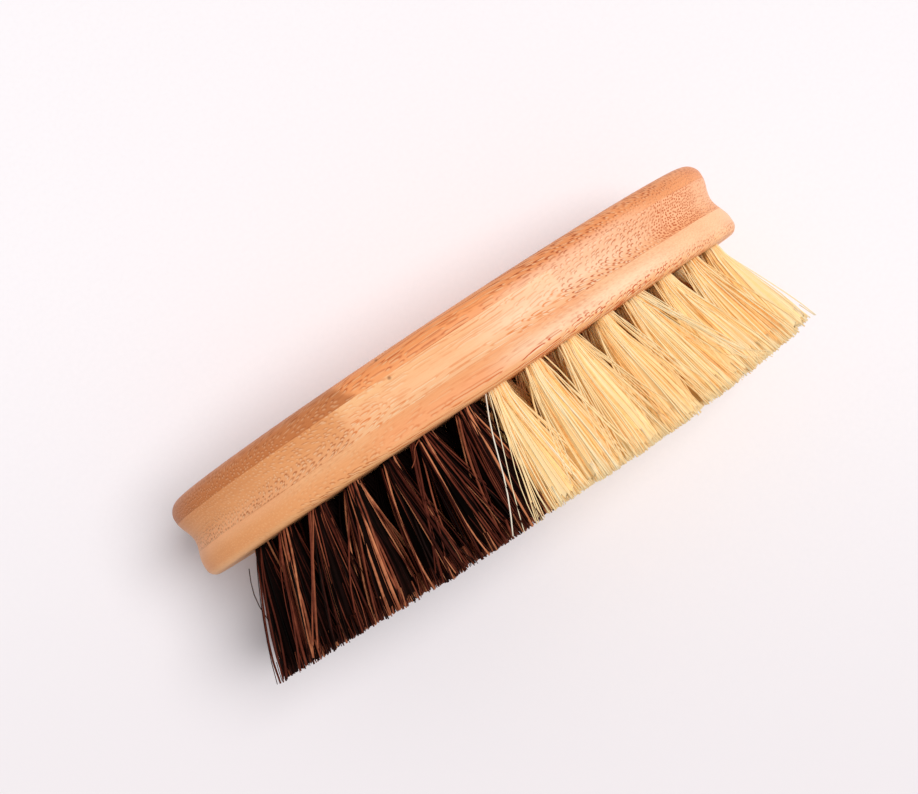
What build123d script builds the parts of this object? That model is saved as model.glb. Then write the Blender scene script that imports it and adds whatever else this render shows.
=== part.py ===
from build123d import *
from itertools import permutations
from math import cos, pi, radians, sqrt, tan
import os

# Two-fibre oval hand brush, lying on its long side, in millimetres.
# X runs along the block towards the pale fibre, Y points out of the flat back, and Z is up.
# The origin is on the surface that the brush lies on, under the middle of the whole brush.

# Bamboo block: an ellipse in plan, glued up from three layers
block_length = 135.0
block_width = 50.0
back_layer_thickness = 4.5
middle_layer_thickness = 7.4
face_layer_thickness = 6.1
back_edge_radius = 3.4
face_edge_radius = 2.2

# Finger groove round the side, between the crests of an upper and a lower bead
groove_depth = 1.3
upper_crest_depth = 3.8
lower_crest_height = 3.3
groove_steps = 8

# Filling pattern: rows of holes on two half ovals, which meet at the line between the fibres
fibre_line = 0.6
side_inset = 6.5
row_spacing = 9.3
pale_end_inset = 7.4
dark_end_inset = 12.6
centre_row_inset = 15.0
pale_counts = {"outer": 8, "inner": 7, "centre": 4}
dark_counts = {"outer": 7, "inner": 6, "centre": 3}

# Each hole, drilled from drill_start above the face, and the flat wire anchor across its bottom
hole_diameter = 4.2
hole_depth = 10.5
drill_start = 3.0
anchor_thickness = 0.4
anchor_height = 2.0
anchor_bite = 0.8
anchor_clearance = 0.03
fold_height = 0.9

# Each tuft: a root packed in its hole, and strands that fan out of it to a trimmed end
fibre_length = 26.6
root_clearance = 0.06
strand_inset = 0.15
strand_overlap = 0.6
strand_root_width = 0.85
strand_end_width = 1.7
strands_round = 6
tuft_gap = 0.3

# How far the tufts are splayed, in degrees, and where along the block the splay is full
pale_lean = 16.0
dark_lean = 21.5
side_lean = 4.5
lean_reach = 40.0

half_length = block_length / 2
half_width = block_width / 2
block_thickness = back_layer_thickness + middle_layer_thickness + face_layer_thickness
lower_crest_depth = block_thickness - lower_crest_height
hole_radius = hole_diameter / 2
plug_radius = hole_radius - root_clearance
outer_side = half_width - side_inset
anchor_depth = hole_depth - fold_height - anchor_height / 2
anchor_length = hole_diameter + 2 * anchor_bite


class Fibre:
    """One half of the filling. Places are along and across the face, from the block's middle."""

    def __init__(self, name, way, end_inset, counts, full_lean):
        self.name = name
        self.way = way
        self.full_lean = full_lean
        reach = half_length - end_inset - way * fibre_line
        inner_reach = reach - row_spacing
        inner_side = outer_side - row_spacing
        self.rows = {
            "outer": self.oval_row(reach, outer_side, counts["outer"], False),
            "inner": self.oval_row(inner_reach, inner_side, counts["inner"], True),
            "centre": self.centre_row(inner_reach - centre_row_inset, counts["centre"]),
        }

    def oval_row(self, reach, side, count, end_hole):
        """Holes evenly spaced round a half oval, with one at its very end or two astride it."""
        first = 0 if end_hole else 0.5
        with BuildLine():
            quarter = EllipticalCenterArc((0, 0), reach, side, 0, arc_size=90)
        steps = [quarter @ ((i + first) / (count + first - 0.5)) for i in range(count)]
        near = [Vector(fibre_line + self.way * step.X, step.Y) for step in reversed(steps)]
        far = [Vector(place.X, -place.Y) for place in reversed(near[:-1] if end_hole else near)]
        return near + far

    def centre_row(self, reach, count):
        """Holes evenly spaced along the middle of the face."""
        return [Vector(fibre_line + self.way * reach * (i + 0.5) / count, 0) for i in range(count)]

    def along(self, place):
        """Direction of a tuft: splayed towards the end of the block, and a little to its side."""
        share = min(1.0, abs(place.X - fibre_line) / lean_reach)
        lean = self.way * self.full_lean * (1 - cos(pi * share)) / 2
        side = side_lean * place.Y / outer_side
        return Vector(tan(radians(lean)), tan(radians(side)), 1).normalized()


fibres = (
    Fibre("pale", 1, pale_end_inset, pale_counts, pale_lean),
    Fibre("dark", -1, dark_end_inset, dark_counts, dark_lean),
)

# Trimmed ends of the tufts, and their radius from the closest spacing, square to the tufts
ends = [
    (place + fibre.along(place) * fibre_length, fibre.along(place))
    for fibre in fibres
    for row in fibre.rows.values()
    for place in row
]
closest = min((a - b).cross(along).length for (a, _), (b, along) in permutations(ends, 2))
end_radius = (closest - tuft_gap) / 2

# Planes of the flat back and of the drilled face, both facing the way that the fibre points
right_reach = max(end.X + end_radius * along.Z for end, along in ends)
left_reach = max(end_radius * along.Z - end.X for end, along in ends)
middle = (max(half_length, right_reach) - max(half_length, left_reach)) / 2
back_centre = (-middle, (block_thickness + fibre_length) / 2, half_width)
back = Plane(back_centre, x_dir=(1, 0, 0), z_dir=(0, -1, 0))
face = back.offset(block_thickness)


def mouth_plane(fibre, place):
    """Plane at the mouth of a hole, with its normal along the splayed tuft."""
    mouth = face.from_local_coords(place)
    end = face.from_local_coords(place + fibre.along(place))
    return Plane(mouth, x_dir=(1, 0, 0), z_dir=end - mouth)


def groove(depth):
    """How far the side is drawn in at a depth below the back."""
    share = (depth - upper_crest_depth) / (lower_crest_depth - upper_crest_depth)
    return groove_depth * (1 - cos(2 * pi * min(1.0, max(0.0, share)))) / 2


def block_layer(label, top, thickness):
    """One glued layer: a slice of the block, with the holes and anchor cuts that reach into it."""
    with BuildPart() as layer:
        add(block.part)
        split(bisect_by=back.offset(top), keep=Keep.TOP)
        split(bisect_by=back.offset(top + thickness), keep=Keep.BOTTOM)
    layer.part.label = label
    export_step(layer.part, f"parts/{label}.step")


def strand(angle, root_ring, end_ring):
    """One strand of a tuft: a square that widens from the root to the trimmed end."""
    ends = (
        (-strand_overlap, root_ring, strand_root_width),
        (fibre_length, end_ring, strand_end_width),
    )
    with BuildPart() as lock:
        for height, radius, width in ends:
            with BuildSketch(Plane.XY.offset(height)):
                with PolarLocations(radius, 1, start_angle=angle):
                    Rectangle(width, width)
        loft(ruled=True)
    return lock.part


def tuft():
    """One tuft standing on the XY plane: its root with the anchor's slot, and its strands."""
    root_ring = plug_radius - strand_inset - strand_root_width / sqrt(2)
    end_ring = end_radius - strand_end_width / sqrt(2)
    strands = [strand(0, 0, 0)]
    strands += [strand(360 * i / strands_round, root_ring, end_ring) for i in range(strands_round)]
    with BuildPart() as bundle:
        Cylinder(
            plug_radius,
            hole_depth - root_clearance,
            align=(Align.CENTER, Align.CENTER, Align.MAX),
        )
        with Locations((0, 0, -anchor_depth)):
            Box(
                anchor_thickness + 2 * anchor_clearance,
                hole_diameter,
                anchor_height + 2 * anchor_clearance,
                mode=Mode.SUBTRACT,
            )
        add(strands)
    return bundle.part


mouths = {
    (fibre, row): [mouth_plane(fibre, place) for place in places]
    for fibre in fibres
    for row, places in fibre.rows.items()
}
all_mouths = [plane for planes in mouths.values() for plane in planes]
os.makedirs("parts", exist_ok=True)

# The whole block: sections down its side, its two rounded edges, and its drilled holes
groove_step = (lower_crest_depth - upper_crest_depth) / groove_steps
levels = [0, upper_crest_depth / 2]
levels += [upper_crest_depth + groove_step * i for i in range(groove_steps + 1)]
levels += [block_thickness - lower_crest_height / 2, block_thickness]
with BuildPart() as block:
    for level in levels:
        with BuildSketch(back.offset(level)):
            Ellipse(half_length - groove(level), half_width - groove(level))
    loft()
    fillet(block.edges().sort_by(Axis.Y)[-1], back_edge_radius)
    fillet(block.edges().sort_by(Axis.Y)[0], face_edge_radius)
    with Locations(*[plane.offset(drill_start) for plane in all_mouths]):
        Cylinder(
            hole_radius,
            hole_depth + drill_start,
            align=(Align.CENTER, Align.CENTER, Align.MAX),
            mode=Mode.SUBTRACT,
        )
    with Locations(*[plane.offset(-anchor_depth) for plane in all_mouths]):
        Box(
            anchor_thickness + 2 * anchor_clearance,
            anchor_length + 2 * anchor_clearance,
            anchor_height + 2 * anchor_clearance,
            mode=Mode.SUBTRACT,
        )

block_layer("back_layer", 0, back_layer_thickness)
block_layer("middle_layer", back_layer_thickness, middle_layer_thickness)
block_layer("face_layer", back_layer_thickness + middle_layer_thickness, face_layer_thickness)

with BuildPart() as anchors:
    with Locations(*[plane.offset(-anchor_depth) for plane in all_mouths]):
        Box(anchor_thickness, anchor_length, anchor_height)
anchors.part.label = "wire_anchors"
export_step(anchors.part, "parts/wire_anchors.step")

# The tufts of the two ovals are single pieces, and those of a centre row share one
pattern = tuft()
for (fibre, row), planes in mouths.items():
    if row == "centre":
        groups = {f"{fibre.name}_centre_tufts": planes}
    else:
        groups = {f"{fibre.name}_{row}_tuft_{i:02d}": [plane] for i, plane in enumerate(planes, 1)}
    for label, group in groups.items():
        with BuildPart() as filling:
            with Locations(*group):
                add(pattern)
        filling.part.label = label
        export_step(filling.part, f"parts/{label}.step")
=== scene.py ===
"""Two-fibre oval hand brush: bamboo, pale and dark plant fibre, and a plain pale floor."""

import math

import bmesh
import bpy
import numpy as np
from mathutils import Matrix, Vector


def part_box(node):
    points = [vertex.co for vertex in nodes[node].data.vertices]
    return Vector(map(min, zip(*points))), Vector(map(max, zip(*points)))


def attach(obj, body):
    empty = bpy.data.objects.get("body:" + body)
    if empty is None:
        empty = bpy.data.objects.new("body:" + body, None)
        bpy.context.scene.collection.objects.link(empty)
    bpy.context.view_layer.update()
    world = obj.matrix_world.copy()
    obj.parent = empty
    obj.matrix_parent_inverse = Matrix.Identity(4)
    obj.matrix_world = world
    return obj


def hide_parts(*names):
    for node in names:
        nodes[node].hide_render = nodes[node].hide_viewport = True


MM = 0.001
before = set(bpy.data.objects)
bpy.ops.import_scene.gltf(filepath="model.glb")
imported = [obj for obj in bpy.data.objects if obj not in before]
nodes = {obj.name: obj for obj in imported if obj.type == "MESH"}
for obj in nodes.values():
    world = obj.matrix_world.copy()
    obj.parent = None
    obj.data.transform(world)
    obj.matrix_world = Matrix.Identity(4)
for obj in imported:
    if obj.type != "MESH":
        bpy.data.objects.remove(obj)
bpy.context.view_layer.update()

# The block's middle: half way along and across it, and its flat back and drilled face
back_low, back_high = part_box("back_layer")
face_low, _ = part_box("face_layer")
MID_X = (back_low.x + back_high.x) / 2
MID_Z = (back_low.z + back_high.z) / 2
BACK_Y = back_high.y
FACE_Y = face_low.y
HALF_LENGTH = (back_high.x - back_low.x) / 2
HALF_WIDTH = (back_high.z - back_low.z) / 2


# ---------------------------------------------------------------- materials


def srgb(red, green, blue):
    """A colour given as it looks on a screen, 0 to 255, as the shader wants it."""
    parts = [c / 255 for c in (red, green, blue)]
    return tuple(c / 12.92 if c < 0.04045 else ((c + 0.055) / 1.055) ** 2.4 for c in parts) + (1.0,)


# Depth of the finest relief, which is bump alone: grain, and the skin of a fibre
RELIEF = 0.02 * MM
# Sockets of the Mix node that take its two colours, and the one that gives the result
MIX_A, MIX_B, MIX_RESULT = 6, 7, 2


class Graph:
    """The nodes of one material."""

    def __init__(self, name):
        self.material = bpy.data.materials.new(name)
        self.material.use_nodes = True
        self.tree = self.material.node_tree
        self.shader = self.tree.nodes["Principled BSDF"]

    def put(self, socket, value):
        if isinstance(value, bpy.types.NodeSocket):
            self.tree.links.new(value, socket)
        else:
            socket.default_value = value

    def node(self, kind, inputs, **settings):
        made = self.tree.nodes.new("ShaderNode" + kind)
        for key, value in settings.items():
            setattr(made, key, value)
        for key, value in inputs.items():
            self.put(made.inputs[key], value)
        return made

    def maths(self, operation, *values, clamp=False):
        made = self.tree.nodes.new("ShaderNodeMath")
        made.operation = operation
        made.use_clamp = clamp
        for socket, value in zip(made.inputs, values):
            self.put(socket, value)
        return made.outputs[0]

    def smooth(self, value, start, end, low=0.0, high=1.0):
        """Goes smoothly from low to high as value goes from start to end."""
        made = self.node(
            "MapRange",
            {"Value": value, "From Min": start, "From Max": end, "To Min": low, "To Max": high},
            interpolation_type="SMOOTHSTEP",
        )
        return made.outputs["Result"]

    def mix(self, factor, a, b, blend="MIX"):
        made = self.node("Mix", {}, data_type="RGBA", blend_type=blend)
        self.put(made.inputs["Factor"], factor)
        self.put(made.inputs[MIX_A], a)
        self.put(made.inputs[MIX_B], b)
        return made.outputs[MIX_RESULT]

    def ramp(self, factor, stops):
        made = self.node("ValToRGB", {"Fac": factor})
        bar = made.color_ramp
        while len(bar.elements) < len(stops):
            bar.elements.new(0.5)
        for element, (place, colour) in zip(bar.elements, stops):
            element.position = place
            element.color = colour
        return made.outputs["Color"]

    def noise(self, vector, scale, detail=2.0, roughness=0.5, distortion=0.0):
        made = self.node(
            "TexNoise",
            {
                "Vector": vector,
                "Scale": scale,
                "Detail": detail,
                "Roughness": roughness,
                "Distortion": distortion,
            },
        )
        return made.outputs["Fac"]

    def combine(self, x, y, z):
        return self.node("CombineXYZ", {"X": x, "Y": y, "Z": z}).outputs[0]

    def sway(self, noise, amount, base):
        """base, moved by amount times how far a noise lies from its middle."""
        return self.maths("MULTIPLY_ADD", self.maths("SUBTRACT", noise, 0.5), amount, base)

    def let_light_through(self, share):
        """Thin fibre stops only a part of the lamps' light."""
        clear = self.node("BsdfTransparent", {"Color": tuple(share) + (1.0,)})
        path = self.node("LightPath", {})
        mixed = self.node(
            "MixShader",
            {0: path.outputs["Is Shadow Ray"], 1: self.shader.outputs[0], 2: clear.outputs[0]},
        )
        self.put(self.tree.nodes["Material Output"].inputs["Surface"], mixed.outputs[0])

    def finish(self, colour, roughness, height=None, depth=0.0, **constants):
        self.put(self.shader.inputs["Base Color"], colour)
        self.put(self.shader.inputs["Roughness"], roughness)
        for key, value in constants.items():
            self.shader.inputs[key.replace("_", " ")].default_value = value
        if height is not None:
            bump = self.node("Bump", {"Height": height, "Distance": depth, "Strength": 1.0})
            self.put(self.shader.inputs["Normal"], bump.outputs[0])
        return self.material


# Bamboo. Lengths are in millimetres: x along the block, depth from 0 at the back, falling below
# zero towards the face, and across from one long side to the other. A pace is how fast a pattern
# changes along them, in that order.
WANDER_PACE = (0.045, 0.12, 0.12)
WANDER_DEPTH = 2.2
WANDER_ACROSS = 1.4
DIP_PACE = (0.3, 0.5)
DIP = 0.5
FINE_PACE = 0.08
BROAD_PACE = (0.05, 0.3, 0.25)
# Bundles to a millimetre of depth and across, and how unevenly they lie: loose, and close
LOOSE_PACE, LOOSE_RANDOM = (1.3, 3.2), 0.66
CLOSE_PACE, CLOSE_RANDOM = (1.75, 3.7), 0.58
# A bundle's radius in its cell, least and how much more, and its heart's share and place in it
BUNDLE_LEAST, BUNDLE_MORE = 0.27, 0.16
CLOSE_BUNDLE = 0.3
# The heart is a painted highlight, taking this share of the bundle and set off to one side by this
# much
HIGHLIGHT_SHARE = 0.62
HIGHLIGHT_PLACE = (0.17, 0.1, 0)
# The flat of the back and face, as shares of the oval, and how strips lie and blend on it
FLAT_FROM, FLAT_FULL = 0.92, 0.86
STRIP_SIDE = 8.3
FLAT_BLEND = 24.0
JAG = 3.0
SPECK_COLOUR = srgb(142, 88, 48)


class Strip:
    """One strip of bamboo: its ground at the top, middle and bottom of its layer, partly its own
    tone and partly painted highlight, the dark rims of its fibre bundles and the heart of each, a
    pale spot of painted highlight to one side of its rim, how strongly they show at the top and at
    the bottom, and where along the block it starts and over what length it takes over from the
    strip before."""

    def __init__(self, grounds_with_highlight, rim, heart, upper, lower, start=0.0, blend=0.0):
        self.grounds_with_highlight = [srgb(*ground) for ground in grounds_with_highlight]
        self.rim = srgb(*rim)
        self.heart = srgb(*heart)
        self.upper = upper
        self.lower = lower
        self.start = start
        self.blend = blend


def bamboo(name, seed, top, bottom, strips, skew=0.0, onset=0.3, painted_edge_light=None, close=None, speck=None):
    """A layer of bamboo strips, glued side by side, with their fibre bundles running along X.
    A bundle shows as a long streak where the surface runs with it and as a dot where the surface
    cuts across it. top and bottom are the layer's depths. strips go from the dark fibre to the
    pale one; their ends lean by skew with depth, and their marks grow from onset, a share of the
    layer's depth. painted_edge_light is a lighter ground at the bottom edge: painted light where
    that edge turns into shade. close is how far across a glue line runs through bundles that lie
    close, and speck is the place of a burnt speck."""
    g = Graph(name)
    place = g.node("TexCoord", {}).outputs["Object"]
    origin = (-MID_X / MM, -BACK_Y / MM, -MID_Z / MM)
    mapping = g.node("Mapping", {"Vector": place, "Location": origin, "Scale": (1 / MM,) * 3})
    local = mapping.outputs[0]
    x, depth, across = g.node("SeparateXYZ", {"Vector": local}).outputs
    middle = (top + bottom) / 2

    def paced(pace):
        return g.combine(
            g.maths("MULTIPLY_ADD", x, pace[0], seed),
            g.maths("MULTIPLY", depth, pace[1]),
            g.maths("MULTIPLY", across, pace[2]),
        )

    # Bundles wander slowly as they run, and the sanded surface dips in and out of them
    wander = g.node("TexNoise", {"Vector": paced(WANDER_PACE), "Scale": 1.0, "Detail": 2.0})
    shift = g.node("SeparateXYZ", {"Vector": wander.outputs["Color"]}).outputs
    dipping = g.combine(
        g.maths("MULTIPLY", x, DIP_PACE[0]), g.maths("MULTIPLY", depth, DIP_PACE[1]), seed
    )
    dips = g.noise(dipping, 1.0, 1.0)
    depth_w = g.maths("MULTIPLY_ADD", shift[0], WANDER_DEPTH, depth)
    across_w = g.maths("MULTIPLY_ADD", shift[1], WANDER_ACROSS, across)
    across_w = g.maths("MULTIPLY_ADD", dips, DIP, across_w)

    def bundles(pace, offset, randomness):
        """Cells that hold one bundle each."""
        cells = g.combine(
            g.maths("MULTIPLY", depth_w, pace[0]), g.maths("MULTIPLY", across_w, pace[1]), seed
        )
        moved = g.node("VectorMath", {0: cells, 1: offset}, operation="ADD").outputs[0]
        return g.node(
            "TexVoronoi",
            {"Vector": moved, "Scale": 1.0, "Randomness": randomness},
            voronoi_dimensions="2D",
        ).outputs

    whole = bundles(LOOSE_PACE, (0, 0, 0), LOOSE_RANDOM)
    # Each bundle's heart is a painted highlight, a pale spot set off to one side of its dark rim
    highlight_cells = bundles(LOOSE_PACE, HIGHLIGHT_PLACE, LOOSE_RANDOM)
    chance = g.node("SeparateXYZ", {"Vector": whole["Color"]}).outputs
    size = g.maths("MULTIPLY_ADD", chance[0], BUNDLE_MORE, BUNDLE_LEAST)
    rim = g.smooth(g.maths("SUBTRACT", size, whole["Distance"]), -0.1, 0.14)
    highlight_size = g.maths("MULTIPLY", size, HIGHLIGHT_SHARE)
    heart = g.smooth(g.maths("SUBTRACT", highlight_size, highlight_cells["Distance"]), -0.1, 0.12)
    rim = g.maths("MULTIPLY", rim, g.maths("MULTIPLY_ADD", chance[1], 0.6, 0.5))
    # Fine grain between the bundles, and slow changes of tone
    along = g.maths("MULTIPLY", x, FINE_PACE)
    fine = g.noise(g.combine(along, depth_w, across_w), 4.2, 4.0, 0.65)
    broad = g.noise(paced(BROAD_PACE), 1.0, 2.0)
    rim = g.maths("MULTIPLY", rim, g.smooth(broad, 0.25, 0.7, 0.55, 1.35))
    # The joint of two strips crosses the side at a point, and runs along the flat back and face,
    # where a strip only changes its tone slowly
    oval = g.combine(
        g.maths("MULTIPLY", x, MM / HALF_LENGTH), g.maths("MULTIPLY", across, MM / HALF_WIDTH), 0.0
    )
    flat = g.node("VectorMath", {0: oval}, operation="LENGTH").outputs["Value"]
    flat = g.smooth(flat, FLAT_FROM, FLAT_FULL)
    aside = g.maths("ABSOLUTE", across)
    centre = g.smooth(aside, STRIP_SIDE + 0.1, STRIP_SIDE - 0.1)
    jag = g.sway(fine, JAG, x)
    jag = g.maths("MULTIPLY_ADD", g.maths("SUBTRACT", depth, middle), skew, jag)
    first = strips[0]
    grounds_with_highlight, rims, highlight_colours = list(first.grounds_with_highlight), first.rim, first.heart
    upper, lower = first.upper, first.lower
    for strip in strips[1:]:
        earlier = g.maths("MULTIPLY_ADD", flat, -FLAT_BLEND, strip.start - strip.blend / 2)
        later = g.maths("MULTIPLY_ADD", flat, FLAT_BLEND, strip.start + strip.blend / 2)
        taken = g.smooth(jag, earlier, later)
        grounds_with_highlight = [g.mix(taken, a, b) for a, b in zip(grounds_with_highlight, strip.grounds_with_highlight)]
        rims = g.mix(taken, rims, strip.rim)
        highlight_colours = g.mix(taken, highlight_colours, strip.heart)
        upper = g.smooth(taken, 0.0, 1.0, upper, strip.upper)
        lower = g.smooth(taken, 0.0, 1.0, lower, strip.lower)
    # The ground by depth is partly the bamboo's own tone and partly painted highlight, as in the
    # paler low band of the back layer's later strips
    ground = g.mix(g.smooth(depth, top, middle), grounds_with_highlight[0], grounds_with_highlight[1])
    ground = g.mix(g.smooth(depth, middle, bottom), ground, grounds_with_highlight[2])
    # A lighter ground along the face's bottom edge: painted light where that edge turns down into
    # shade
    if painted_edge_light:
        ground = g.mix(g.smooth(depth, bottom + 2.0, bottom + 0.4, 0.0, 0.6), ground, painted_edge_light)
    # How strongly the bundles show, by depth: half as much on the flat
    low = g.smooth(depth, top, bottom)
    strong = g.smooth(low, onset, 1.05, upper, lower)
    strong = g.maths("MULTIPLY", strong, g.maths("MULTIPLY_ADD", flat, -0.5, 1.0))
    joint = g.smooth(g.maths("ABSOLUTE", g.maths("SUBTRACT", aside, STRIP_SIDE)), 0.15, 0.05)
    marks = g.maths(
        "MAXIMUM", g.maths("MULTIPLY", joint, 0.45), g.maths("MULTIPLY", centre, 0.17)
    )
    grain = g.sway(broad, 0.4, g.sway(fine, 0.7, 0.08))
    grain = g.maths("ADD", grain, g.maths("MULTIPLY", flat, marks), clamp=True)
    colour = g.mix(grain, ground, rims)
    if close:
        # The outer walls of two strips meet at a glue line, with small bundles packed close
        beside = g.maths("SUBTRACT", aside, close)
        near = g.maths("MULTIPLY", g.smooth(beside, 2.4, -0.2), g.smooth(beside, -6.2, -4.0))
        near = g.maths("MULTIPLY", near, g.smooth(x, 34.0, 50.0))
        dots = bundles(CLOSE_PACE, (0, 0, 0), CLOSE_RANDOM)["Distance"]
        dots = g.smooth(g.maths("SUBTRACT", CLOSE_BUNDLE, dots), -0.1, 0.08)
        change = g.maths("SUBTRACT", g.maths("MULTIPLY", dots, 1.3), rim)
        rim = g.maths("MULTIPLY_ADD", near, change, rim)
        heart = g.maths("MULTIPLY", heart, g.maths("SUBTRACT", 1.0, near))
        strong = g.maths("MAXIMUM", strong, g.maths("MULTIPLY", near, 0.85))
        line = g.smooth(g.maths("ABSOLUTE", beside), 0.14, 0.05)
        line = g.maths("MULTIPLY", line, g.smooth(x, 30.0, 40.0))
        rim = g.maths("MULTIPLY", rim, g.maths("SUBTRACT", 1.0, line))
        rim = g.maths("MAXIMUM", rim, g.maths("MULTIPLY", line, 0.4))
    rim = g.maths("MULTIPLY", rim, strong, clamp=True)
    colour = g.mix(rim, colour, rims)
    # Painted highlight: the pale heart of each bundle, stronger where the bundles show strongly
    lighter = g.maths("MULTIPLY", heart, g.maths("MULTIPLY_ADD", strong, 0.4, 0.3))
    colour = g.mix(lighter, colour, highlight_colours)
    # Glue at the layer's two faces
    for glue in (top, bottom):
        off = g.maths("ABSOLUTE", g.maths("SUBTRACT", depth, glue))
        seam = g.maths("MULTIPLY", g.smooth(off, 0.16, 0.03), g.smooth(broad, 0.4, 0.7, 0.0, 0.5))
        colour = g.mix(seam, colour, rims)
    if speck:
        spot = g.node("VectorMath", {0: local, 1: speck}, operation="DISTANCE").outputs["Value"]
        colour = g.mix(g.smooth(spot, 0.6, 0.1, 0.0, 0.7), colour, SPECK_COLOUR)
    height = g.maths("SUBTRACT", g.maths("MULTIPLY", fine, 0.5), g.maths("MULTIPLY", rim, 0.5))
    roughness = g.maths("MULTIPLY_ADD", rim, 0.14, 0.44)
    return g.finish(colour, roughness, height, RELIEF, Specular_IOR_Level=0.32)


def fibre_material(name, tones, roughness, painted_root_shade, painted_tip_light, tip_share, gloss, through=None):
    """Plant fibre. tones go from the darkest fibre to the palest; painted_root_shade darkens the
    base, painted shade where the fibres go into their hole, and painted_tip_light takes its share
    at the cut end, painted light where the fibres at the tips shade each other. through is how
    much of the lamps' light, as red, green and blue, a fibre lets past."""
    g = Graph(name)
    tone = g.node("Attribute", {}, attribute_name="tone").outputs["Fac"]
    along = g.node("Attribute", {}, attribute_name="along").outputs["Fac"]
    place = g.node("TexCoord", {}).outputs["Object"]
    mottle = g.noise(place, 900.0, 2.0)
    broad = g.noise(place, 140.0, 1.0)
    colour = g.ramp(g.sway(broad, 0.2, g.sway(mottle, 0.22, tone)), tones)
    # Painted shade: the base darkens where the fibres go into their hole
    base = g.smooth(along, 0.0, 0.25, 0.35, 0.0)
    colour = g.mix(base, colour, painted_root_shade, "MULTIPLY")
    # Painted light: the cut ends turn lighter where the fibres at the tips shade each other
    colour = g.mix(g.smooth(along, 0.7, 1.0, 0.0, tip_share), colour, painted_tip_light)
    height = g.noise(place, 2600.0, 1.0)
    if through:
        g.let_light_through(through)
    return g.finish(colour, roughness, height, RELIEF, Specular_IOR_Level=gloss)


def steel(name):
    g = Graph(name)
    place = g.node("TexCoord", {}).outputs["Object"]
    drawn = g.node("Mapping", {"Vector": place, "Scale": (4000, 4000, 300)}).outputs[0]
    lines = g.noise(drawn, 1.0, 3.0)
    colour = g.ramp(lines, [(0.3, srgb(150, 150, 148)), (0.7, srgb(196, 196, 192))])
    return g.finish(colour, g.maths("MULTIPLY_ADD", lines, 0.2, 0.22), Metallic=1.0)


middle_low, middle_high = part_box("middle_layer")
GLUE_UPPER = (middle_high.y - BACK_Y) / MM
GLUE_LOWER = (middle_low.y - BACK_Y) / MM
DRILLED = (FACE_Y - BACK_Y) / MM

# On the back layer, the paler bottom ground of the later strips is a painted highlight on the
# groove's upper side
# The strips of each layer, from the dark fibre to the pale one
back_strips = (
    Strip(
        [(212, 132, 80), (206, 128, 76), (202, 122, 68)],
        (170, 94, 50), (234, 176, 128), 0.6, 0.6,
    ),
    Strip(
        [(255, 166, 104), (252, 164, 101), (252, 168, 106)],
        (208, 112, 60), (255, 198, 142), 0.9, 0.8,
        start=-21.6, blend=2.4,
    ),
    Strip(
        [(248, 162, 102), (240, 154, 96), (252, 186, 140)],
        (184, 92, 46), (255, 196, 146), 1.5, 0.5,
        start=13.0, blend=10.0,
    ),
    Strip(
        [(246, 164, 106), (234, 152, 98), (242, 162, 108)],
        (190, 100, 54), (255, 192, 140), 1.1, 0.5,
        start=46.0, blend=12.0,
    ),
)
middle_strips = (
    Strip(
        [(226, 152, 96), (234, 162, 106), (250, 180, 128)],
        (188, 112, 64), (252, 204, 158), 0.15, 0.9,
    ),
    Strip(
        [(236, 162, 103), (240, 168, 110), (252, 184, 130)],
        (196, 116, 66), (254, 208, 162), 0.5, 1.0,
        start=-44.0, blend=14.0,
    ),
    Strip(
        [(255, 198, 142), (255, 195, 143), (254, 198, 148)],
        (234, 138, 76), (255, 222, 178), 0.5, 1.0,
        start=-24.8, blend=4.5,
    ),
    Strip(
        [(255, 208, 162), (255, 211, 170), (254, 196, 146)],
        (236, 144, 84), (255, 226, 190), 0.6, 1.1,
        start=9.0, blend=14.0,
    ),
    Strip(
        [(255, 192, 148), (254, 204, 162), (252, 192, 142)],
        (204, 108, 60), (255, 222, 184), 0.8, 1.4,
        start=25.6, blend=1.0,
    ),
    Strip(
        [(252, 186, 140), (252, 190, 144), (244, 172, 120)],
        (202, 106, 58), (255, 212, 168), 0.9, 1.3,
        start=43.0, blend=16.0,
    ),
)
face_strips = (
    Strip(
        [(252, 184, 132), (240, 166, 108), (236, 160, 102)],
        (206, 128, 76), (252, 194, 140), 0.05, 0.25,
    ),
    Strip(
        [(254, 190, 136), (246, 172, 114), (246, 170, 110)],
        (204, 120, 66), (254, 202, 150), 0.2, 1.3,
        start=-42.0, blend=10.0,
    ),
    Strip(
        [(252, 178, 122), (253, 174, 118), (252, 178, 124)],
        (222, 122, 64), (255, 200, 148), 0.35, 1.3,
        start=-22.0, blend=10.0,
    ),
    Strip(
        [(255, 184, 132), (255, 212, 168), (252, 180, 122)],
        (208, 86, 34), (255, 220, 176), 0.25, 2.3,
        start=8.0, blend=12.0,
    ),
    Strip(
        [(255, 202, 154), (255, 214, 172), (252, 178, 120)],
        (202, 80, 32), (255, 218, 170), 0.12, 2.3,
        start=30.0, blend=14.0,
    ),
    Strip(
        [(255, 200, 152), (255, 204, 158), (254, 194, 146)],
        (206, 98, 50), (255, 222, 178), 0.1, 1.3,
        start=48.0, blend=10.0,
    ),
)
back_material = bamboo(
    "bamboo_back", 1.7, 0.0, GLUE_UPPER, back_strips, skew=0.7, speck=(-12.7, -0.75, 23.3)
)
middle_material = bamboo(
    "bamboo_middle",
    5.3,
    GLUE_UPPER,
    GLUE_LOWER,
    middle_strips,
    close=15.2,
    speck=(-12.4, -5.2, 24.4),
)
# The face's bottom edge is given a lighter ground: painted light
face_material = bamboo(
    "bamboo_face", 9.1, GLUE_LOWER, DRILLED, face_strips, onset=0.5, painted_edge_light=srgb(255, 198, 138)
)
layers = {
    "back_layer": back_material,
    "middle_layer": middle_material,
    "face_layer": face_material,
    "wire_anchors": steel("anchor_steel"),
}
for node, material in layers.items():
    nodes[node].data.materials.clear()
    nodes[node].data.materials.append(material)

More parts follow.
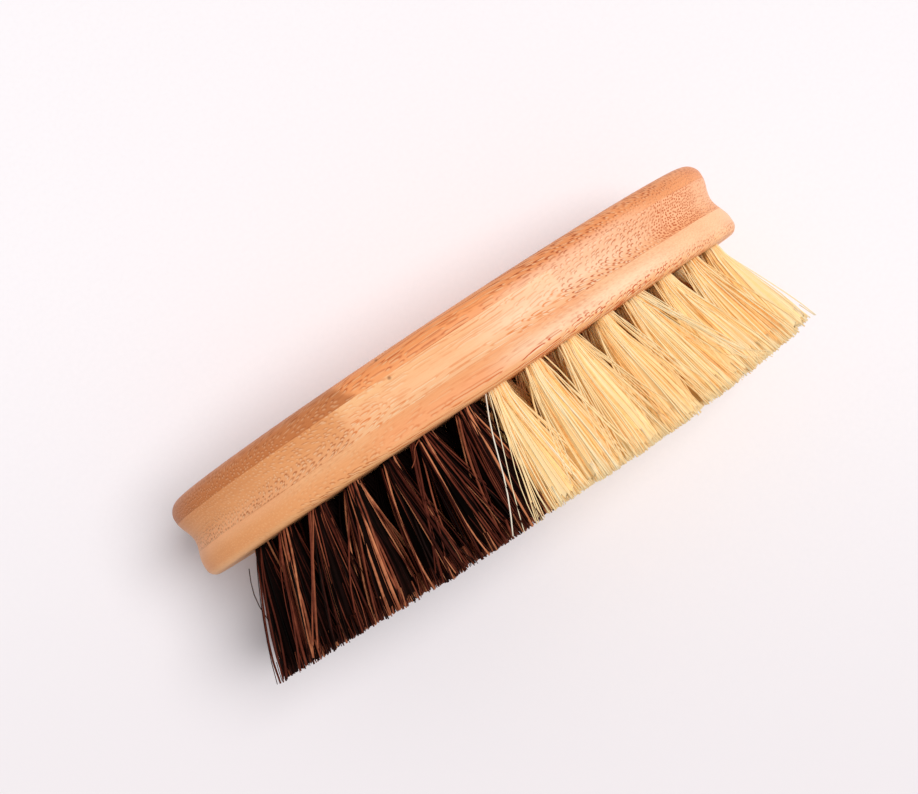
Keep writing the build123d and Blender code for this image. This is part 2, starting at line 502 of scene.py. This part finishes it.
# The lowest stop, a dark orange, is painted shade for the strands that fill the gaps between tufts;
# the darkest fibres take a little of it
PALE_TONES = [
    (0.0, srgb(202, 122, 52)),
    (0.2, srgb(253, 203, 128)),
    (0.5, srgb(255, 222, 164)),
    (0.8, srgb(255, 232, 184)),
    (1.0, srgb(250, 246, 238)),
]
DARK_TONES = [
    (0.0, srgb(12, 8, 6)),
    (0.25, srgb(27, 12, 10)),
    (0.48, srgb(74, 31, 22)),
    (0.7, srgb(108, 51, 36)),
    (0.88, srgb(156, 87, 60)),
    (1.0, srgb(206, 132, 92)),
]
# The painted shade of the base, the painted light of the cut end and its share
PALE_ENDS = (srgb(250, 225, 190), srgb(255, 230, 184), 0.3)
DARK_ENDS = (srgb(190, 170, 160), srgb(70, 36, 28), 0.12)
PALE_THROUGH = (0.98, 0.96, 0.92)
PACKED_THROUGH = (0.99, 0.94, 0.82)
pale_material = fibre_material(
    "pale_plant_fibre", PALE_TONES, 0.5, *PALE_ENDS, 0.22, PALE_THROUGH
)
pale_core = fibre_material("pale_fibre_packed", PALE_TONES, 0.5, *PALE_ENDS, 0.3, PACKED_THROUGH)
dark_material = fibre_material("dark_plant_fibre", DARK_TONES, 0.48, *DARK_ENDS, 0.03)
dark_core = fibre_material("dark_fibre_packed", DARK_TONES, 0.8, *DARK_ENDS, 0.02)


# ---------------------------------------------------------------- tufts


class Kind:
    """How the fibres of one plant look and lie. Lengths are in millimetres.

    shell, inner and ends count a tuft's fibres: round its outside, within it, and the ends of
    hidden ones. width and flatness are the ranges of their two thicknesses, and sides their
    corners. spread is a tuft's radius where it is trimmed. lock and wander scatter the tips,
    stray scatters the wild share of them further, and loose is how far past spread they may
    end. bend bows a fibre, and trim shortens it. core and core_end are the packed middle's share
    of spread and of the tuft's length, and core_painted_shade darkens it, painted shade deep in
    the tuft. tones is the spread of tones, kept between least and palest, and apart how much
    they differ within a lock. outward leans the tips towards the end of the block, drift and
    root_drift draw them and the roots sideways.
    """

    def __init__(self, name, **settings):
        self.name = name
        self.__dict__.update(settings)


KINDS = {
    "pale": Kind(
        "pale",
        material=pale_material,
        packed=pale_core,
        slot="pale_fibre",
        shell=125,
        inner=40,
        ends=300,
        width=(0.22, 0.46),
        flatness=(0.5, 1.0),
        spread=5.35,
        outward=0.06,
        loose=0.9,
        lock=0.7,
        wander=0.5,
        wild=0.18,
        stray=2.2,
        bend=0.35,
        trim=0.4,
        sides=4,
        core=0.86,
        core_end=0.972,
        core_painted_shade=0.9,
        tones=(2.6, 2.1),
        apart=0.2,
        least=0.14,
        palest=0.8,
        drift=0.9,
        root_drift=0.8,
    ),
    "dark": Kind(
        "dark",
        material=dark_material,
        packed=dark_core,
        slot="dark_fibre",
        shell=70,
        inner=30,
        ends=170,
        width=(0.2, 0.58),
        flatness=(0.35, 0.9),
        spread=5.2,
        outward=-0.03,
        loose=0.2,
        lock=1.0,
        wander=0.8,
        wild=0.32,
        stray=2.4,
        bend=0.75,
        trim=0.45,
        sides=5,
        core=0.84,
        core_end=0.955,
        core_painted_shade=0.3,
        tones=(0.8, 1.15),
        apart=0.17,
        least=0.0,
        palest=1.0,
        drift=1.7,
        root_drift=0.3,
    ),
}
FIRST_SEED = 100
# The fibres in their hole: the radius they fill, how far in they lie, and how far down they reach
HOLE_RADIUS = 1.88
ROOT_INSET = 0.15
CORE_INSET = 0.25
HOLE_REACH = 7.5
CORE_REACH = 1.5
# Steps along a fibre, and where along it the hidden ones' ends start
STEPS = 8
ENDS = np.array([0.85, 0.92, 1.0])
ENDS_SIDES = 3
# Locks of a tuft, the tones in each, and how many draws those tones are taken from
LOCKS = 11
LOCK_TONES = 3
TONE_DRAWS = 1500
LOCK_RADIUS = 0.85
LOCK_PULL = 0.28
# Shares of a tuft's radius that its shell fills, and of its area that the rest does
SHELL_FROM, SHELL_TO = 0.84, 1.04
INNER_AREA = 0.75
ENDS_AREA = 0.6
# The packed middle of a tuft: its ridges and slits, its steps, and its hollow end
RIDGES = 64
RIDGE = 0.03
SLITS = 9
SLIT_WIDTH = 0.1
SLIT_DEPTH = (0.1, 0.3)
CORE_STEPS = 9
CORE_LAST_STEP = 0.985
HOLLOW_WIDTH = 0.7
HOLLOW_DEPTH = 0.04
# From how far off the brush's middle fibres lie down along its sides, and within what room
SIDE_FROM = 21.0
SIDE_ROOM = 3.6
STRAY_ROOM = 1.0
# The share of its tuft's length that a stray reaches at most
STRAY_LAST = 0.98
# Shares of a tuft's part of the texture map: where its whole fibres stop, where the ends of the
# hidden ones after them stop, the room of its strays, and where its packed middle starts
MAP_WHOLE = 0.5
MAP_ENDS = 0.68
MAP_STRAYS = 0.1
MAP_CORE = 0.78
# A tube's column of that map: its sides from low to high with a margin, and its discs above
TUBE_LOW, TUBE_HIGH = 0.01, 0.95
TUBE_MARGIN, TUBE_WIDE = 0.1, 0.8
DISC_PLACE, DISC_WIDE, DISC_HIGH = 0.975, 0.4, 0.02
# Where towards the pale end the trim starts to round off, over what length, and by how much
TRIM_FROM, TRIM_LENGTH, TRIM_ROUND = 25, 45, 2.4
# How fast a tuft spreads at first, and over what share of its length it sags
FAN = 1.25
SAG = 0.13
# What is left of a fibre's width at its end
END_WIDTH = 0.9


class Stray:
    """Strands that leave their tuft. Each end is given towards the pale fibre and up from the
    tuft's middle, in millimetres, and by its share of the tuft's length. bow is how far they
    curve out halfway, the same two ways."""

    def __init__(self, start, end, width, tone, count=1, scatter=0.3, bow=(0.0, 0.0)):
        self.start = start
        self.end = end
        self.width = width
        self.tone = tone
        self.count = count
        self.scatter = scatter
        self.bow = bow


STRAYS = {
    "pale_outer_tuft_01": [
        Stray((-1.7, 1.2, -0.1), (-14.2, 7.6, 0.95), 0.4, 0.97, 1, 0.0),
        Stray((-1.5, 1.2, -0.1), (-12.0, 7.2, 0.99), 0.22, 0.75, 1, 0.0),
        Stray((-1.4, 1.3, -0.1), (-9.2, 6.8, 0.99), 0.24, 0.62, 1, 0.4),
        Stray((-1.2, 1.4, -0.1), (-7.6, 6.4, 0.98), 0.26, 0.6, 3, 0.5),
        Stray((-1.0, 1.4, -0.1), (-6.4, 6.0, 0.98), 0.32, 0.6, 4, 0.6),
    ],
    "pale_outer_tuft_02": [
        Stray((-1.4, 1.2, -0.1), (-6.6, 5.6, 0.9), 0.3, 0.55, 3, 0.5),
        Stray((1.3, 1.0, -0.1), (6.4, 4.4, 0.97), 0.32, 0.5, 7, 0.6),
    ],
    "pale_outer_tuft_03": [
        Stray((1.4, 1.2, -0.1), (7.4, 5.6, 0.8), 0.28, 0.5, 2, 0.5),
        Stray((-1.3, 1.0, -0.1), (-6.0, 4.4, 0.97), 0.32, 0.5, 6, 0.6),
        Stray((1.3, 0.9, -0.1), (6.6, 4.2, 0.97), 0.32, 0.5, 6, 0.6),
    ],
    "pale_outer_tuft_04": [
        Stray((1.5, 1.2, -0.1), (7.2, 5.6, 0.85), 0.28, 0.6, 2, 0.5),
        Stray((1.3, 0.9, -0.1), (6.6, 4.2, 0.97), 0.32, 0.5, 8, 0.6),
    ],
    "pale_outer_tuft_05": [
        Stray((0.4, 1.8, -0.1), (7.6, 6.0, 0.86), 0.32, 0.7, 12, 0.75),
        Stray((0.8, 1.8, 0.3), (11.0, 6.2, 0.98), 0.2, 0.5, 2, 0.5, (-2.4, 0.4)),
        Stray((-1.3, 0.9, -0.1), (-6.2, 4.2, 0.97), 0.32, 0.5, 7, 0.6),
    ],
    "pale_outer_tuft_06": [
        Stray((-1.0, 1.8, 0.1), (4.4, 6.2, 0.97), 0.22, 0.5, 2, 0.4, (-3.4, 0.4)),
        Stray((-1.6, 1.0, -0.1), (-5.8, 5.8, 0.9), 0.3, 0.5, 2, 0.4),
    ],
    "pale_outer_tuft_07": [Stray((-1.4, 1.2, -0.1), (-6.4, 5.8, 0.85), 0.3, 0.6, 3, 0.5)],
    "dark_outer_tuft_01": [Stray((1.0, -0.6, -0.1), (4.6, -1.5, 0.9), 0.5, 0.25, 12, 0.9)],
    "dark_outer_tuft_02": [
        Stray((-1.8, 0.6, -0.1), (-12.4, 5.6, 0.93), 0.5, 0.58, 5, 0.45),
        Stray((-0.8, 1.2, 0.0), (-5.6, 3.0, 0.15), 0.26, 0.85, 1, 0.0, (-0.4, 0.4)),
    ],
    "dark_outer_tuft_05": [Stray((-0.6, 1.6, -0.1), (-8.6, 5.8, 0.96), 0.42, 0.78, 3, 0.6)],
    "dark_outer_tuft_06": [Stray((0.6, 1.8, -0.1), (-2.2, 6.0, 0.97), 0.6, 0.9, 2, 0.4)],
    "dark_outer_tuft_07": [
        Stray((-4.4, 0.6, 0.14), (-2.0, 1.8, 0.95), 0.3, 0.4, 1, 0.0, (-1.0, 0.0)),
    ],
}

# Strands that bush out of the tufts behind, and close the gaps between those in front
# The pale ones take the darkest, most orange tone: painted shade of the gaps
BUSH = {
    kind: [
        Stray((way * 1.3, 0.0, -0.1), (way * 4.8, 0.0, 0.6), width, tone, 14, 1.0, (way * 1.5, 0.0))
        for way in (-1, 1)
    ]
    for kind, width, tone in (("pale", 0.4, 0.02), ("dark", 0.55, 0.12))
}
BUSH["pale"] += [
    Stray((way * 1.2, 0.4, -0.1), (way * 5.6, 1.5, 0.9), 0.36, 0.42, 11, 0.8) for way in (-1, 1)
]


def islands(mesh):
    """The separate solids of a mesh, each as an array of its corners."""
    work = bmesh.new()
    work.from_mesh(mesh)
    bmesh.ops.remove_doubles(work, verts=work.verts, dist=1e-6)
    left = set(work.verts)
    found = []
    while left:
        group, edge = set(), [next(iter(left))]
        while edge:
            vert = edge.pop()
            if vert in group:
                continue
            group.add(vert)
            edge += [e.other_vert(vert) for e in vert.link_edges]
        left -= group
        found.append(np.array([v.co for v in group]))
    work.free()

    def place(points):
        return round(points[:, 0].mean(), 5), round(points[:, 2].mean(), 5)

    return sorted(found, key=place)


def tuft_line(points):
    """The bottom of a tuft's root, the middle of its trimmed end, and the way between them, which
    is found in a few rounds, because it says itself which corners lie at the two ends."""
    slice_depth = 0.05 * MM
    along = Vector((0, -1, 0))
    for _ in range(3):
        reach = points @ np.array(along)
        end = points[reach > reach.max() - slice_depth].mean(0)
        root = points[reach < reach.min() + slice_depth].mean(0)
        along = Vector(end - root).normalized()
    return root, end, np.array(along)


class Tuft:
    """Where one tuft stands: its mouth in the face, its direction, and its length in
    millimetres. near_line is 1 at the line between the fibres, glow how much lighter it is than
    its fellows, and outer how close it stands to an end of the block, below zero where its side
    points the other way."""

    def __init__(self, points):
        root, end, self.along = tuft_line(points)
        self.mouth = root + self.along * ((FACE_Y - root[1]) / self.along[1])
        self.end = end
        self.full = np.linalg.norm(end - self.mouth) / MM
        self.side = np.cross(self.along, (0, 0, 1.0))
        self.side /= np.linalg.norm(self.side)
        self.up = np.cross(self.side, self.along)
        off = (self.mouth[0] - MID_X) / MM
        self.near_line = math.exp(-((off / 9) ** 2))
        lighter = 0.2 * math.exp(-(((off + 26) / 8) ** 2))
        self.glow = lighter - 0.08 * (off < -35) + 0.27 * (off > -16)
        endward = math.copysign(1, off * self.side[0])
        self.outer = min(1.0, max(0.0, (abs(off) - 30) / 25)) * endward

    def placed(self, plane, height, proud=0.0):
        """World places of points given across the tuft and along it, in millimetres. What would
        leave the brush's two long sides lies down along them, as on the floor, and proud is how
        much further out it may lie."""
        points = self.mouth + MM * (
            plane[..., :1] * self.side + plane[..., 1:] * self.up + height[..., None] * self.along
        )
        off = (points[..., 2] - MID_Z) / MM
        past = np.maximum(0, np.abs(off) - SIDE_FROM)
        room = SIDE_ROOM + proud
        points[..., 2] -= np.sign(off) * MM * (past - room * (1 - np.exp(-past / room)))
        return points


tufts = {}
for node in sorted(nodes):
    if "tuft" in node:
        tufts[node] = [Tuft(points) for points in islands(nodes[node].data)]

# The trimmed surface: how far from the face the tips lie, by their place along the brush
tips = sorted((t.end[0], FACE_Y - t.end[1]) for group in tufts.values() for t in group)
tip_x = np.array([x for x, _ in tips])
tip_reach = np.array([reach for _, reach in tips])


def trimmed(x):
    """How far from the face the fibre is trimmed, in millimetres: less towards the pale end."""
    rounded = np.clip(((x - MID_X) / MM - TRIM_FROM) / TRIM_LENGTH, 0, 1) ** 1.5 * TRIM_ROUND
    return np.interp(x, tip_x, tip_reach) / MM - rounded


def fan(share):
    """How far a tuft has spread at a share of its length: fast at first, then side by side."""
    return 1 - (1 - share) ** FAN


def root_lean(share):
    """How far a tuft sags towards the dark end of the brush, just past the mouth of its hole."""
    return (1 - np.exp(-share / SAG)) * (1 - share)


class Strands:
    """A mesh that is gathered strand by strand, with its texture map, the tone of each point and
    its place along its strand."""

    def __init__(self):
        self.points, self.faces, self.maps, self.tones, self.alongs = [], [], [], [], []
        self.finishes = []
        self.count = 0

    def add(self, points, faces, maps, tones, alongs, finish):
        self.faces += [tuple(int(i) + self.count for i in face) for face in faces]
        self.maps += [corner for face in maps for corner in face]
        self.points.append(points.reshape(-1, 3))
        self.tones.append(tones.ravel())
        self.alongs.append(alongs.ravel())
        self.finishes += [finish] * len(faces)
        self.count += len(self.points[-1])

    def grid(self, points, tones, alongs, u_low, u_high, finish):
        """Closed tubes, from an array of tubes by steps by sides by 3. Each has a column of the
        map, between u_low and u_high, with its two discs at the top."""
        tubes, steps, sides = points.shape[:3]
        index = np.arange(tubes * steps * sides).reshape(tubes, steps, sides)
        after = np.roll(index, -1, axis=2)
        quads = np.stack([index[:, :-1], after[:, :-1], after[:, 1:], index[:, 1:]], axis=-1)
        step = np.linspace(TUBE_LOW, TUBE_HIGH, steps)
        column = np.arange(tubes)[:, None, None]
        corner = np.arange(sides)[None, None, :]
        wide = (u_high - u_low) / tubes
        u0 = u_low + wide * (column + TUBE_MARGIN + TUBE_WIDE * corner / sides)
        u1 = u_low + wide * (column + TUBE_MARGIN + TUBE_WIDE * (corner + 1) / sides)
        v0, v1 = step[None, :-1, None], step[None, 1:, None]
        u0, u1, v0, v1 = np.broadcast_arrays(u0, u1, v0, v1)
        corners = ((u0, v0), (u1, v0), (u1, v1), (u0, v1))
        maps = np.stack([np.stack(p, -1) for p in corners], axis=-2)
        faces = quads.reshape(-1, 4).tolist()
        maps = maps.reshape(-1, 4, 2).tolist()
        around = np.arange(sides) * 2 * math.pi / sides
        for tube in range(tubes):
            middle = u_low + wide * (tube + 0.5)
            disc = [
                (middle + wide * DISC_WIDE * math.cos(a), DISC_PLACE + DISC_HIGH * math.sin(a))
                for a in around
            ]
            faces.append(index[tube, 0][::-1].tolist())
            maps.append(disc[::-1])
            faces.append(index[tube, -1].tolist())
            maps.append(disc)
        self.add(points, faces, maps, tones, alongs, finish)

    def mesh(self, name):
        made = bpy.data.meshes.new(name)
        made.from_pydata(np.concatenate(self.points).tolist(), [], self.faces)
        made.polygons.foreach_set("use_smooth", [len(face) == 4 for face in self.faces])
        made.polygons.foreach_set("material_index", self.finishes)
        for attribute, values in (("tone", self.tones), ("along", self.alongs)):
            layer = made.attributes.new(attribute, "FLOAT", "POINT")
            layer.data.foreach_set("value", np.concatenate(values).astype(np.float32))
        layer = made.uv_layers.new(name="OFBake")
        layer.data.foreach_set("uv", np.array(self.maps, np.float32).ravel())
        made.update()
        return made


def fibre_rings(paths, widths, heights, turns, sides):
    """Rings of points round each path, which is an array of steps by 3."""
    tangent = np.gradient(paths, axis=1)
    tangent /= np.linalg.norm(tangent, axis=2, keepdims=True)
    first = turns[:, None, :] - (turns[:, None, :] * tangent).sum(2, keepdims=True) * tangent
    first /= np.linalg.norm(first, axis=2, keepdims=True)
    second = np.cross(tangent, first)
    angles = np.arange(sides) * 2 * math.pi / sides
    taper = np.ones(paths.shape[1])
    taper[-1] = END_WIDTH
    ring = (
        np.cos(angles)[None, None, :, None] * first[:, :, None, :] * widths[:, None, None, None]
        + np.sin(angles)[None, None, :, None] * second[:, :, None, :] * heights[:, None, None, None]
    )
    return paths[:, :, None, :] + ring * taper[None, :, None, None] / 2


def fibre_paths(tuft, kind, rng):
    """Lines of one tuft's fibres: packed in their hole, spreading above it, trimmed together. The
    whole fibres come first, and then the ends of those that are hidden further down. Also gives
    the lock that each belongs to."""
    whole = kind.shell + kind.inner
    count = whole + kind.ends
    radius = np.concatenate(
        [
            rng.uniform(SHELL_FROM, SHELL_TO, kind.shell),
            np.sqrt(rng.uniform(0, INNER_AREA, kind.inner)),
            np.sqrt(rng.uniform(0, ENDS_AREA, kind.ends)),
        ]
    )
    angle = rng.uniform(0, 2 * math.pi, count)
    across = np.stack([np.cos(angle), np.sin(angle)], 1) * radius[:, None]
    root = across * (HOLE_RADIUS - ROOT_INSET)
    # Fibres near each other hang together
    seeds = rng.uniform(0, 2 * math.pi, LOCKS)
    heart = np.stack([np.cos(seeds), np.sin(seeds)], 1) * LOCK_RADIUS
    lock = rng.normal(0, kind.lock, (LOCKS, 2))
    near = np.argmin(((across[:, None] - heart[None]) ** 2).sum(2), axis=1)
    gathered = LOCK_PULL * np.minimum(1, radius / SHELL_FROM)[:, None] ** 2
    tip = (across * (1 - gathered) + heart[near] * gathered) * kind.spread + lock[near]
    tip += rng.normal(0, kind.wander, (count, 2))
    tip += rng.normal(0, kind.stray, (count, 2)) * (rng.random(count) < kind.wild)[:, None]
    tip[:, 0] += tuft.near_line * kind.drift
    if kind.name == "dark":
        # Dark fibre stays on its side of the line between the two
        tip[:, 0] = np.maximum(tip[:, 0], 3.4 * tuft.near_line - kind.spread - 2.0)
    # At the ends of the block the fibres keep together, and lean outwards a little
    past = np.maximum(0, np.abs(tip[:, 0]) - kind.spread - kind.loose) * abs(tuft.outer)
    tip[:, 0] -= np.sign(tip[:, 0]) * past * 0.9
    leaning = tip[:, 0] * np.sign(tuft.outer + 1e-9)
    tip[:, 0] += tuft.outer * kind.outward * np.maximum(0, leaning + kind.spread * 0.5)
    bow = rng.normal(0, kind.bend, (count, 2))
    twist = rng.normal(0, kind.bend * 0.4, (count, 2))
    short = np.abs(rng.normal(0, kind.trim, count))

    def lines(some, share, low):
        plane = (
            root[some, None, :]
            + (tip - root)[some, None, :] * fan(share)[None, :, None]
            + bow[some, None, :] * (np.sin(math.pi * share) * share)[None, :, None]
            + twist[some, None, :] * np.sin(2 * math.pi * share)[None, :, None] * 0.5
        )
        plane[..., 0] += kind.root_drift * root_lean(share)[None, :]
        height = np.broadcast_to(tuft.full * share[None, :], plane.shape[:2]).copy()
        # Trimmed all together, and then a little ragged
        ends = tuft.placed(plane, height)[:, -1]
        wanted = trimmed(ends[:, 0]) - short[some]
        height *= (wanted / ((FACE_Y - ends[:, 1]) / MM))[:, None]
        if low is not None:
            height[:, 0] = low
        return tuft.placed(plane, height)

    share = np.concatenate([[0.0], np.linspace(0, 1, STEPS) ** 1.1])
    return lines(slice(0, whole), share, -HOLE_REACH), lines(slice(whole, None), ENDS, None), near


def stray_paths(tuft, stray, rng):
    """Lines of the strands that leave a tuft, nearly straight from one given end to the other."""
    share = np.linspace(0, 1, STEPS + 1)
    start = np.array(stray.start) + rng.normal(0, stray.scatter, (stray.count, 3)) * (0.7, 0.4, 0)
    end = np.array(stray.end) + rng.normal(0, stray.scatter, (stray.count, 3)) * (1.8, 0.6, 0.06)
    end[:, 2] = np.minimum(end[:, 2], STRAY_LAST)
    line = start[:, None] + (end - start)[:, None] * share[None, :, None]
    line[..., :2] += np.array(stray.bow) * np.sin(math.pi * share)[None, :, None]
    line[..., 0] += rng.normal(0, 0.3, (stray.count, 1)) * np.sin(2 * math.pi * share)[None, :]
    return tuft.placed(line[..., :2] * (-1, 1), line[..., 2] * tuft.full, STRAY_ROOM)


def core_rings(tuft, kind, rng):
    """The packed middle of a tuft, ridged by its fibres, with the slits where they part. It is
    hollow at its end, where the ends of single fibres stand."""
    share = np.append(np.linspace(0, CORE_LAST_STEP, CORE_STEPS) ** 1.05, 1.0)
    angle = np.arange(RIDGES) * 2 * math.pi / RIDGES
    ridge = rng.normal(0, 0.045, RIDGES) + np.where(np.arange(RIDGES) % 2, RIDGE, -RIDGE)
    slits = np.ones((len(share), RIDGES))
    for middle in rng.uniform(0, 2 * math.pi, SLITS):
        off = (angle - middle + math.pi) % (2 * math.pi) - math.pi
        depth = (rng.uniform(*SLIT_DEPTH) * share ** 1.2)[:, None]
        slits -= np.exp(-((off / SLIT_WIDTH) ** 2))[None, :] * depth
    grown = (HOLE_RADIUS - CORE_INSET) + (kind.spread * kind.core - HOLE_RADIUS) * fan(share)
    radius = grown[:, None] * (1 + ridge[None, :]) * slits
    turned = angle[None, :] + rng.normal(0, 0.05, RIDGES)[None, :] * share[:, None]
    plane = np.stack([np.cos(turned) * radius, np.sin(turned) * radius], -1)
    leaning = plane[..., 0] * np.sign(tuft.outer + 1e-9)
    push = np.maximum(0, leaning + kind.spread * 0.5 * fan(share)[:, None]) * fan(share)[:, None]
    drift = tuft.near_line * kind.drift * share[:, None]
    plane[..., 0] += tuft.outer * kind.outward * 0.8 * push + drift
    plane[..., 0] += kind.root_drift * root_lean(share)[:, None]
    lasting = kind.core_end - np.abs(rng.normal(0, 0.025, RIDGES))
    height = share[:, None] * lasting[None, :] * tuft.full
    height[0] = -CORE_REACH
    ends = tuft.placed(plane, height)[-1]
    wanted = trimmed(ends[:, 0]) * lasting
    height[1:] *= (wanted / ((FACE_Y - ends[:, 1]) / MM))[None, :]
    heart = plane[-1].mean(0)
    plane = np.concatenate([plane, [heart + (plane[-1] - heart) * HOLLOW_WIDTH]])
    bottom = height[-1].min() - HOLLOW_DEPTH * tuft.full
    height = np.concatenate([height, np.full((1, RIDGES), bottom)])
    return tuft.placed(plane, height), np.append(share, 1.0)


def part_of(columns, start, end):
    """A part of a range of the map, from one share of it to another."""
    low, high = columns
    return low + (high - low) * start, low + (high - low) * end


def add_fibres(strands, tuft, kind, rng, columns):
    """Adds a tuft's whole fibres, and the ends of those that are hidden further down."""
    paths, ends, near = fibre_paths(tuft, kind, rng)
    whole, count = len(paths), len(near)
    # A lock is of one tone, and its fibres differ a little
    places = (np.arange(LOCK_TONES * LOCKS) + 0.5) / (LOCK_TONES * LOCKS)
    tones = np.quantile(rng.beta(*kind.tones, TONE_DRAWS), places)
    rng.shuffle(tones)
    tones = tones[LOCK_TONES * near + rng.integers(0, LOCK_TONES, count)]
    tones = tones + rng.normal(0, kind.apart, count)
    tones = np.clip(tones + tuft.glow * (kind.name == "dark"), kind.least, kind.palest)
    widths = rng.uniform(*kind.width, count) * MM * (0.85 + 0.3 * tones)
    heights = widths * rng.uniform(*kind.flatness, count)
    turns = rng.normal(0, 1, (count, 3))
    for lines, some, sides, first, room in (
        (paths, slice(0, whole), kind.sides, 0.0, (0, MAP_WHOLE)),
        (ends, slice(whole, None), ENDS_SIDES, ENDS[0], (MAP_WHOLE, MAP_ENDS)),
    ):
        rings = fibre_rings(lines, widths[some], heights[some], turns[some], sides)
        shades = np.broadcast_to(tones[some, None, None], rings.shape[:3])
        alongs = np.linspace(first, 1, rings.shape[1])[None, :, None]
        alongs = np.broadcast_to(alongs, rings.shape[:3])
        strands.grid(rings, shades, alongs, *part_of(columns, *room), 0)


def add_strays(strands, tuft, kind, rng, columns, strays):
    """Adds the strands that leave a tuft."""
    for turn, stray in enumerate(strays):
        paths = stray_paths(tuft, stray, rng)
        count = len(paths)
        widths = stray.width * rng.uniform(0.8, 1.15, count) * MM
        turns = rng.normal(0, 1, (count, 3))
        rings = fibre_rings(paths, widths, widths * 0.8, turns, kind.sides)
        tones = stray.tone + rng.normal(0, 0.06, count)
        tones = np.broadcast_to(tones[:, None, None], rings.shape[:3])
        room = MAP_STRAYS / len(strays)
        start, end = MAP_ENDS + room * turn, MAP_ENDS + room * (turn + 1)
        strands.grid(rings, tones, np.ones(rings.shape[:3]), *part_of(columns, start, end), 0)


def add_core(strands, tuft, kind, rng, columns):
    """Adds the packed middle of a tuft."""
    rings, share = core_rings(tuft, kind, rng)
    # The packed middle is darker than its fibres: painted shade deep inside the tuft, near black
    # for the dark fibre
    tones = rng.beta(*kind.tones, RIDGES)[None, :] * kind.core_painted_shade
    tones = np.broadcast_to(tones, rings.shape[:2])
    alongs = np.broadcast_to(share[:, None], rings.shape[:2])
    strands.grid(rings[None], tones, alongs, *part_of(columns, MAP_CORE, 1), 1)


def build_tufts():
    """One piece of fibres for each node of tufts, which it replaces."""
    for number, (node, group) in enumerate(sorted(tufts.items())):
        kind = KINDS[node.split("_")[0]]
        strays = STRAYS.get(node, []) if "outer" in node else BUSH[kind.name]
        rng = np.random.default_rng(FIRST_SEED + number)
        strands = Strands()
        for place, tuft in enumerate(group):
            columns = place / len(group), (place + 1) / len(group)
            add_fibres(strands, tuft, kind, rng, columns)
            add_strays(strands, tuft, kind, rng, columns, strays)
            add_core(strands, tuft, kind, rng, columns)
        mesh = strands.mesh(node)
        mesh.materials.append(kind.material)
        mesh.materials.append(kind.packed)
        name = node.replace("tufts", "fibres").replace("tuft", "fibres")
        piece = bpy.data.objects.new(name, mesh)
        bpy.context.scene.collection.objects.link(piece)
        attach(piece, "root")
        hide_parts(node)


build_tufts()


# ---------------------------------------------------------------- floor, light and camera


def make_floor():
    """Pale paper, a little darker towards the bottom of the view: painted shade of the light's
    fall-off.
    """
    mesh = bpy.data.meshes.new("floor")
    half = 1.5
    corners = [(-half, -half, 0), (half, -half, 0), (half, half, 0), (-half, half, 0)]
    mesh.from_pydata(corners, [], [(0, 1, 2, 3)])
    g = Graph("floor_paper")
    place = g.node("TexCoord", {}).outputs["Object"]
    tooth = g.noise(place, 900.0, 2.0)
    colour = g.ramp(tooth, [(0.3, srgb(250, 246, 249)), (0.7, srgb(252, 248, 251))])
    # Painted shade: the paper darkens towards the bottom of the view, where the light falls off
    x, y, _ = g.node("SeparateXYZ", {"Vector": place}).outputs
    across = g.maths("MULTIPLY_ADD", x, 0.65, y)
    colour = g.mix(g.smooth(across, 0.06, -0.12), colour, srgb(241, 236, 239))
    mesh.materials.append(g.finish(colour, 0.9, Specular_IOR_Level=0.0))
    floor = bpy.data.objects.new("floor", mesh)
    bpy.context.scene.collection.objects.link(floor)


def make_light():
    """A broad window above the pale end, and a room that lights the shadows."""
    sun = bpy.data.lights.new("window", "SUN")
    sun.energy = 2.3
    sun.angle = math.radians(38)
    sun.color = (1.0, 0.99, 0.985)
    lamp = bpy.data.objects.new("window", sun)
    toward = Vector((0.74, -0.1, 1.5)).normalized()
    lamp.rotation_mode = "QUATERNION"
    lamp.rotation_quaternion = toward.to_track_quat("Z", "Y")
    bpy.context.scene.collection.objects.link(lamp)
    world = bpy.data.worlds.new("room")
    world.use_nodes = True
    world.node_tree.nodes["Background"].inputs["Color"].default_value = (1.0, 0.985, 0.99, 1)
    world.node_tree.nodes["Background"].inputs["Strength"].default_value = 0.38
    bpy.context.scene.world = world


def make_camera():
    """Nearly overhead, with the brush running up to the right across the view."""
    data = bpy.data.cameras.new("camera")
    data.sensor_width = 36.0
    data.lens = 46.58
    camera = bpy.data.objects.new("camera", data)
    # Both from the middle of the flat back, in millimetres
    centre = Vector((MID_X, BACK_Y, MID_Z))
    place = centre + Vector((-9.30, -26.17, 254.6)) * MM
    aim = centre + Vector((-2.5006, -14.6757, 0.0)) * MM
    back = (place - aim).normalized()
    up = Vector((0, 1, 0))
    up = (up - back * up.dot(back)).normalized()
    right = up.cross(back)
    level = Matrix((right, up, back)).transposed()
    roll = Matrix.Rotation(math.radians(-33.561), 3, "Z")
    camera.matrix_world = Matrix.Translation(place) @ (level @ roll).to_4x4()
    bpy.context.scene.collection.objects.link(camera)
    bpy.context.scene.camera = camera


make_floor()
make_light()
make_camera()

view = bpy.context.scene.view_settings
view.view_transform = "Standard"
